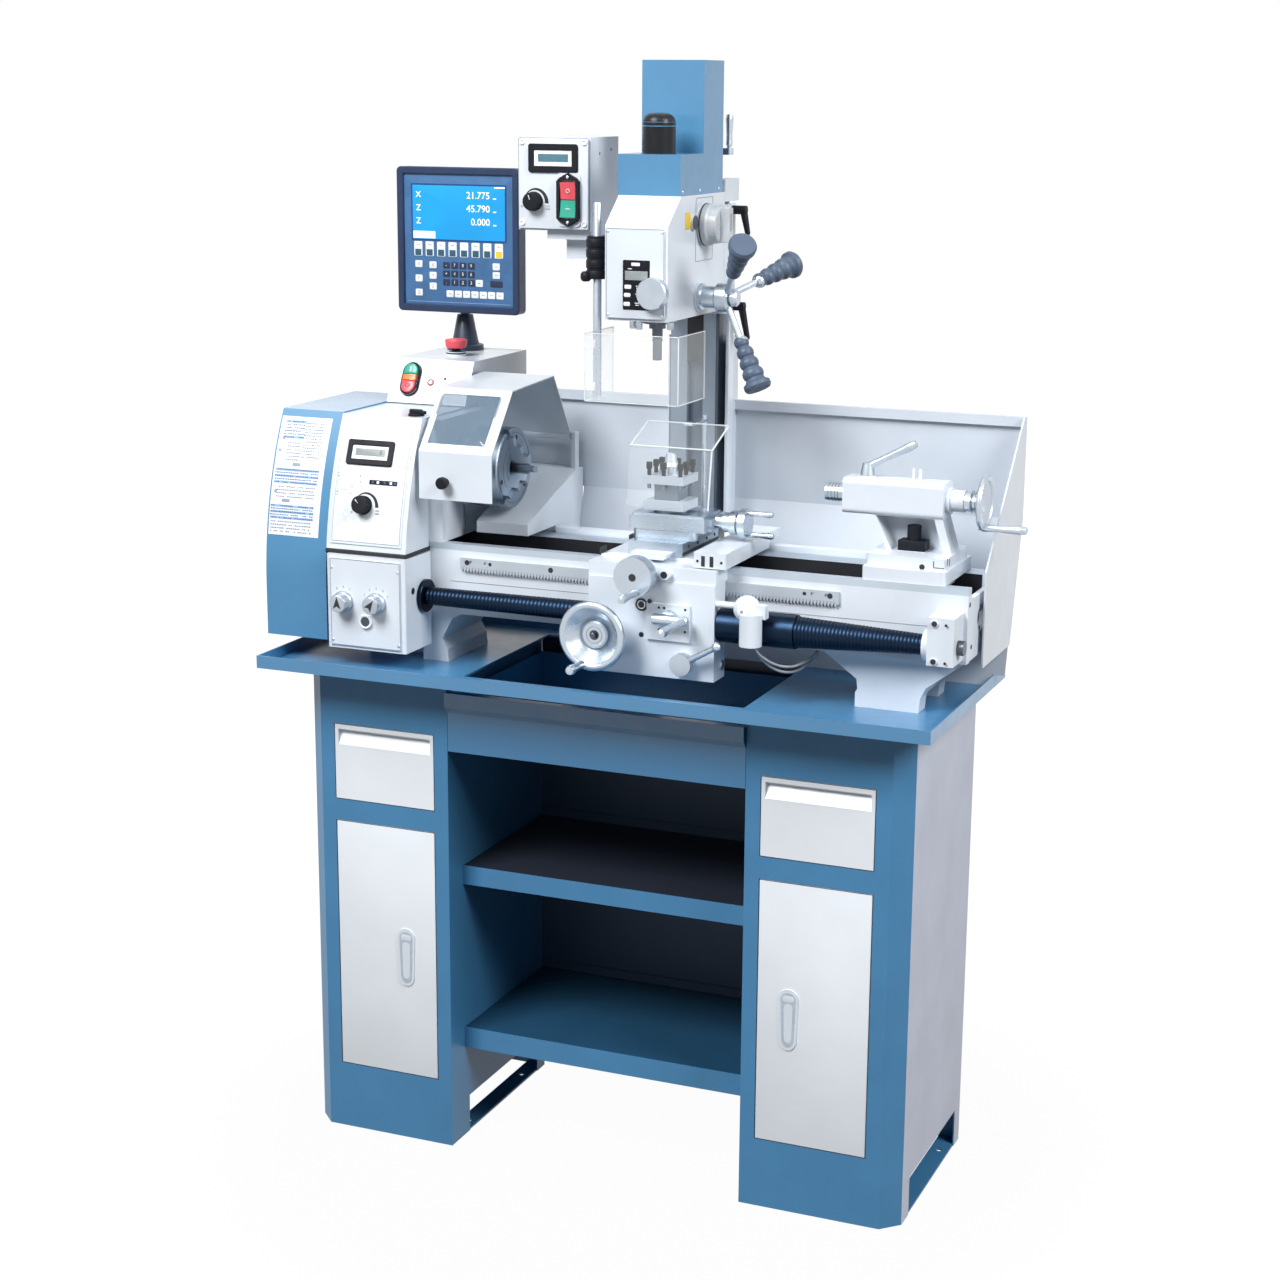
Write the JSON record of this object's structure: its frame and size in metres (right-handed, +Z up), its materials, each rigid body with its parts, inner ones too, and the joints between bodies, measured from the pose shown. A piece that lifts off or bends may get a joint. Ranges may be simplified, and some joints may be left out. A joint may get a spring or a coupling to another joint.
{
  "type": "combination lathe mill",
  "caption": "Bench lathe with a milling head on a column behind the bed, standing on a blue and white two-cabinet stand with chip tray, drawers and doors.",
  "frame": {"origin": "on the floor, under the middle of the machine's overall footprint", "axes": "+X along the bed towards the tailstock, +Y to the back, +Z up"},
  "size_m": [1.4093, 0.6112, 2.045],
  "materials": {
    "cabinet_paint": "satin",
    "blue_paint": "satin",
    "drawer_paint": "satin",
    "white_paint": "satin",
    "cast_bed": "ground",
    "black_plastic": "matte",
    "silver_plastic": "satin",
    "green_plastic": "gloss",
    "red_plastic": "gloss",
    "navy_plastic": "satin",
    "steel": "satin",
    "dark_steel": "satin",
    "polished": "polished",
    "clear": "clear",
    "dark_iron": "satin",
    "grey_rubber": "matte"
  },
  "bodies": {
    "machine": {"cabinets": "cabinet_paint", "bay_shelves": "blue_paint", "chip_tray": "blue_paint", "splash_guard": "white_paint", "bed": "cast_bed", "headstock": "white_paint", "end_cover": "blue_paint", "feed_gearbox": "white_paint", "rear_housing": "white_paint", "column": "dark_iron", "left_screw_cover": "black_plastic", "right_screw_cover": "black_plastic", "guard_cable": "grey_rubber"},
    "mill_head": {"mill_head": "white_paint", "head_cover": "blue_paint", "mill_control_box": "white_paint"},
    "chip_drawer": {"chip_drawer": "blue_paint"},
    "left_drawer": {"left_drawer": "drawer_paint"},
    "right_drawer": {"right_drawer": "drawer_paint"},
    "left_door": {"left_door": "drawer_paint"},
    "right_door": {"right_door": "drawer_paint"},
    "speed_knob": {"speed_knob": "black_plastic"},
    "feed_knob_left": {"feed_knob_left": "silver_plastic"},
    "feed_knob_right": {"feed_knob_right": "silver_plastic"},
    "start_button": {"start_button": "green_plastic"},
    "stop_button": {"stop_button": "red_plastic"},
    "emergency_stop": {"emergency_stop": "red_plastic"},
    "readout_display": {"readout_display": "navy_plastic"},
    "chuck_guard": {"chuck_guard": "white_paint"},
    "chuck": {"chuck": "steel"},
    "jaw_1": {"jaw_1": "dark_steel"},
    "jaw_2": {"jaw_2": "dark_steel"},
    "jaw_3": {"jaw_3": "dark_steel"},
    "leadscrew": {"leadscrew": "dark_steel"},
    "carriage": {"carriage": "white_paint"},
    "apron_handwheel": {"apron_handwheel": "polished"},
    "feed_lever": {"feed_lever": "polished"},
    "halfnut_lever": {"halfnut_lever": "polished"},
    "cross_slide": {"cross_slide": "steel"},
    "cross_feed_crank": {"cross_feed_crank": "polished"},
    "compound_base": {"compound_base": "steel"},
    "compound_slide": {"compound_slide": "steel"},
    "compound_crank": {"compound_crank": "polished"},
    "tool_post": {"tool_post": "steel"},
    "chip_guard": {"chip_guard": "clear"},
    "column_crank": {"column_crank": "polished"},
    "mill_quill": {"mill_quill": "steel"},
    "capstan": {"capstan": "polished"},
    "fine_feed_wheel": {"fine_feed_wheel": "polished"},
    "mill_spindle": {"mill_spindle": "dark_steel"},
    "gear_selector": {"gear_selector": "silver_plastic"},
    "head_lever_upper": {"head_lever_upper": "black_plastic"},
    "head_lever_lower": {"head_lever_lower": "black_plastic"},
    "mill_speed_knob": {"mill_speed_knob": "black_plastic"},
    "mill_switch": {"mill_switch": "red_plastic"},
    "spindle_guard": {"spindle_guard": "clear"},
    "tailstock": {"tailstock": "white_paint"},
    "tailstock_quill": {"tailstock_quill": "steel"},
    "tailstock_handwheel": {"tailstock_handwheel": "polished"},
    "quill_lock_lever": {"quill_lock_lever": "polished"}
  },
  "joints": [
    {"name": "chip_drawer_slide", "type": "slide", "parent": "machine", "child": "chip_drawer", "axis": [0, -1, 0], "range_m": [0, 0.25]},
    {"name": "left_drawer_slide", "type": "slide", "parent": "machine", "child": "left_drawer", "axis": [0, -1, 0], "range_m": [0, 0.3]},
    {"name": "right_drawer_slide", "type": "slide", "parent": "machine", "child": "right_drawer", "axis": [0, -1, 0], "range_m": [0, 0.3]},
    {"name": "left_door_hinge", "type": "hinge", "parent": "machine", "child": "left_door", "pos_m": [-0.57035, -0.20335, 0.4], "axis": [0, 0, -1], "range_deg": [0, 105]},
    {"name": "right_door_hinge", "type": "hinge", "parent": "machine", "child": "right_door", "pos_m": [0.49905, -0.20335, 0.4], "axis": [0, 0, 1], "range_deg": [0, 105]},
    {"name": "speed_knob_turn", "type": "hinge", "parent": "machine", "child": "speed_knob", "pos_m": [-0.50165, -0.19319, 1.243], "axis": [0, -0.9727, 0.2319], "range_deg": [-135, 135]},
    {"name": "feed_knob_left_turn", "type": "hinge", "parent": "machine", "child": "feed_knob_left", "pos_m": [-0.53265, -0.22365, 1.065], "axis": [0, -1, 0], "range_deg": [-60, 60]},
    {"name": "feed_knob_right_turn", "type": "hinge", "parent": "machine", "child": "feed_knob_right", "pos_m": [-0.46365, -0.22365, 1.067], "axis": [0, -1, 0], "range_deg": [-60, 60]},
    {"name": "start_button_press", "type": "slide", "parent": "machine", "child": "start_button", "axis": [0, 0.8878, -0.4603], "range_m": [0, 0.003], "stiffness_N_per_m": 500, "springref_m": -0.001},
    {"name": "stop_button_press", "type": "slide", "parent": "machine", "child": "stop_button", "axis": [0, 0.8878, -0.4603], "range_m": [0, 0.003], "stiffness_N_per_m": 500, "springref_m": -0.001},
    {"name": "emergency_stop_press", "type": "slide", "parent": "machine", "child": "emergency_stop", "axis": [0, 0, -1], "range_m": [0, 0.004], "stiffness_N_per_m": 500, "springref_m": -0.002},
    {"name": "readout_tilt", "type": "hinge", "parent": "machine", "child": "readout_display", "pos_m": [-0.51865, 0.25865, 1.635], "axis": [1, 0, 0], "range_deg": [-8, 8]},
    {"name": "chuck_guard_hinge", "type": "hinge", "parent": "machine", "child": "chuck_guard", "pos_m": [-0.32565, 0.18365, 1.337], "axis": [-1, 0, 0], "range_deg": [0, 38]},
    {"name": "spindle", "type": "hinge", "parent": "machine", "child": "chuck", "pos_m": [-0.32565, -0.02535, 1.304], "axis": [1, 0, 0], "continuous": true},
    {"name": "jaw_1_slide", "type": "slide", "parent": "chuck", "child": "jaw_1", "axis": [0, -0.342, 0.9397], "range_m": [-0.005, 0.008]},
    {"name": "jaw_2_slide", "type": "slide", "parent": "chuck", "child": "jaw_2", "axis": [0, -0.6428, -0.766], "range_m": [-0.005, 0.008]},
    {"name": "jaw_3_slide", "type": "slide", "parent": "chuck", "child": "jaw_3", "axis": [0, 0.9848, -0.1736], "range_m": [-0.005, 0.008]},
    {"name": "leadscrew_turn", "type": "hinge", "parent": "machine", "child": "leadscrew", "pos_m": [0.06435, -0.14735, 1.073], "axis": [1, 0, 0], "continuous": true},
    {"name": "carriage_slide", "type": "slide", "parent": "machine", "child": "carriage", "axis": [1, 0, 0], "range_m": [-0.15, 0.12], "deforming": ["left_screw_cover", "right_screw_cover", "guard_cable"]},
    {"name": "apron_handwheel_turn", "type": "hinge", "parent": "carriage", "child": "apron_handwheel", "pos_m": [-0.02565, -0.18565, 1.049], "axis": [0, -1, 0], "continuous": true},
    {"name": "feed_lever_turn", "type": "hinge", "parent": "carriage", "child": "feed_lever", "pos_m": [0.10435, -0.18165, 1.084], "axis": [0, -1, 0], "range_deg": [-20, 20]},
    {"name": "halfnut_lever_turn", "type": "hinge", "parent": "carriage", "child": "halfnut_lever", "pos_m": [0.12935, -0.18265, 1.004], "axis": [0, 1, 0], "range_deg": [0, 35]},
    {"name": "cross_slide_slide", "type": "slide", "parent": "carriage", "child": "cross_slide", "axis": [0, 1, 0], "range_m": [-0.05, 0.05]},
    {"name": "cross_feed_crank_turn", "type": "hinge", "parent": "carriage", "child": "cross_feed_crank", "pos_m": [0.05035, -0.18965, 1.161], "axis": [0, -1, 0], "continuous": true},
    {"name": "compound_swivel", "type": "hinge", "parent": "cross_slide", "child": "compound_base", "pos_m": [0.04835, -0.03735, 1.205], "axis": [0, 0, 1], "range_deg": [-30, 30]},
    {"name": "compound_slide_slide", "type": "slide", "parent": "compound_base", "child": "compound_slide", "axis": [1, 0, 0], "range_m": [-0.03, 0.03]},
    {"name": "compound_crank_turn", "type": "hinge", "parent": "compound_slide", "child": "compound_crank", "pos_m": [0.15065, -0.03735, 1.236], "axis": [1, 0, 0], "continuous": true},
    {"name": "tool_post_turn", "type": "hinge", "parent": "compound_slide", "child": "tool_post", "pos_m": [0.04835, -0.04535, 1.25], "axis": [0, 0, 1], "continuous": true},
    {"name": "chip_guard_swing", "type": "hinge", "parent": "cross_slide", "child": "chip_guard", "pos_m": [0.07435, 0.05265, 1.205], "axis": [0, 0, -1], "range_deg": [0, 60]},
    {"name": "mill_head_slide", "type": "slide", "parent": "machine", "child": "mill_head", "axis": [0, 0, 1], "range_m": [-0.028, 0.004]},
    {"name": "column_crank_turn", "type": "hinge", "parent": "machine", "child": "column_crank", "pos_m": [0.01835, 0.19065, 1.855], "axis": [0, 0, 1], "continuous": true},
    {"name": "quill_slide", "type": "slide", "parent": "mill_head", "child": "mill_quill", "axis": [0, 0, -1], "range_m": [0, 0.05]},
    {"name": "capstan_turn", "type": "hinge", "parent": "mill_head", "child": "capstan", "pos_m": [0.08365, 0.00065, 1.634], "axis": [-1, 0, 0], "continuous": true},
    {"name": "fine_feed_turn", "type": "hinge", "parent": "mill_head", "child": "fine_feed_wheel", "pos_m": [0.05635, -0.15065, 1.65], "axis": [0, -1, 0], "continuous": true},
    {"name": "mill_spindle_turn", "type": "hinge", "parent": "mill_quill", "child": "mill_spindle", "pos_m": [0.02035, -0.04735, 1.6], "axis": [0, 0, 1], "continuous": true},
    {"name": "gear_selector_turn", "type": "hinge", "parent": "mill_head", "child": "gear_selector", "pos_m": [0.08465, 0.02165, 1.76], "axis": [1, 0, 0], "range_deg": [-45, 45]},
    {"name": "head_lever_upper_turn", "type": "hinge", "parent": "mill_head", "child": "head_lever_upper", "pos_m": [0.08265, 0.15265, 1.78], "axis": [1, 0, 0], "range_deg": [-30, 30]},
    {"name": "head_lever_lower_turn", "type": "hinge", "parent": "mill_head", "child": "head_lever_lower", "pos_m": [0.08265, 0.15065, 1.605], "axis": [1, 0, 0], "range_deg": [-30, 30]},
    {"name": "mill_speed_knob_turn", "type": "hinge", "parent": "mill_head", "child": "mill_speed_knob", "pos_m": [-0.24265, -0.00065, 1.794], "axis": [0, -1, 0], "range_deg": [-135, 135]},
    {"name": "mill_switch_rock", "type": "hinge", "parent": "mill_head", "child": "mill_switch", "pos_m": [-0.17265, -0.00135, 1.798], "axis": [1, 0, 0], "range_deg": [-6, 6]},
    {"name": "spindle_guard_swing", "type": "hinge", "parent": "mill_head", "child": "spindle_guard", "pos_m": [-0.07065, -0.10735, 1.6], "axis": [0, 0, -1], "range_deg": [0, 90]},
    {"name": "tailstock_slide", "type": "slide", "parent": "machine", "child": "tailstock", "axis": [1, 0, 0], "range_m": [-0.1, 0.04]},
    {"name": "tailstock_quill_slide", "type": "slide", "parent": "tailstock", "child": "tailstock_quill", "axis": [-1, 0, 0], "range_m": [0, 0.05]},
    {"name": "tailstock_handwheel_turn", "type": "hinge", "parent": "tailstock", "child": "tailstock_handwheel", "pos_m": [0.59065, -0.02535, 1.304], "axis": [1, 0, 0], "continuous": true},
    {"name": "quill_lock_turn", "type": "hinge", "parent": "tailstock", "child": "quill_lock_lever", "pos_m": [0.41235, -0.02535, 1.338], "axis": [0, 0, 1], "range_deg": [-60, 60]}
  ],
  "couplings": [
    {"joint": "jaw_2_slide", "follows": "jaw_1_slide", "ratio": 1},
    {"joint": "jaw_3_slide", "follows": "jaw_1_slide", "ratio": 1},
    {"joint": "apron_handwheel_turn", "follows": "carriage_slide", "rad_per_m": 250},
    {"joint": "cross_feed_crank_turn", "follows": "cross_slide_slide", "rad_per_m": 3141.6},
    {"joint": "compound_crank_turn", "follows": "compound_slide_slide", "rad_per_m": 3141.6},
    {"joint": "column_crank_turn", "follows": "mill_head_slide", "rad_per_m": 1570.8},
    {"joint": "capstan_turn", "follows": "quill_slide", "rad_per_m": 50},
    {"joint": "fine_feed_turn", "follows": "quill_slide", "rad_per_m": 600},
    {"joint": "tailstock_handwheel_turn", "follows": "tailstock_quill_slide", "rad_per_m": 1570.8}
  ]
}
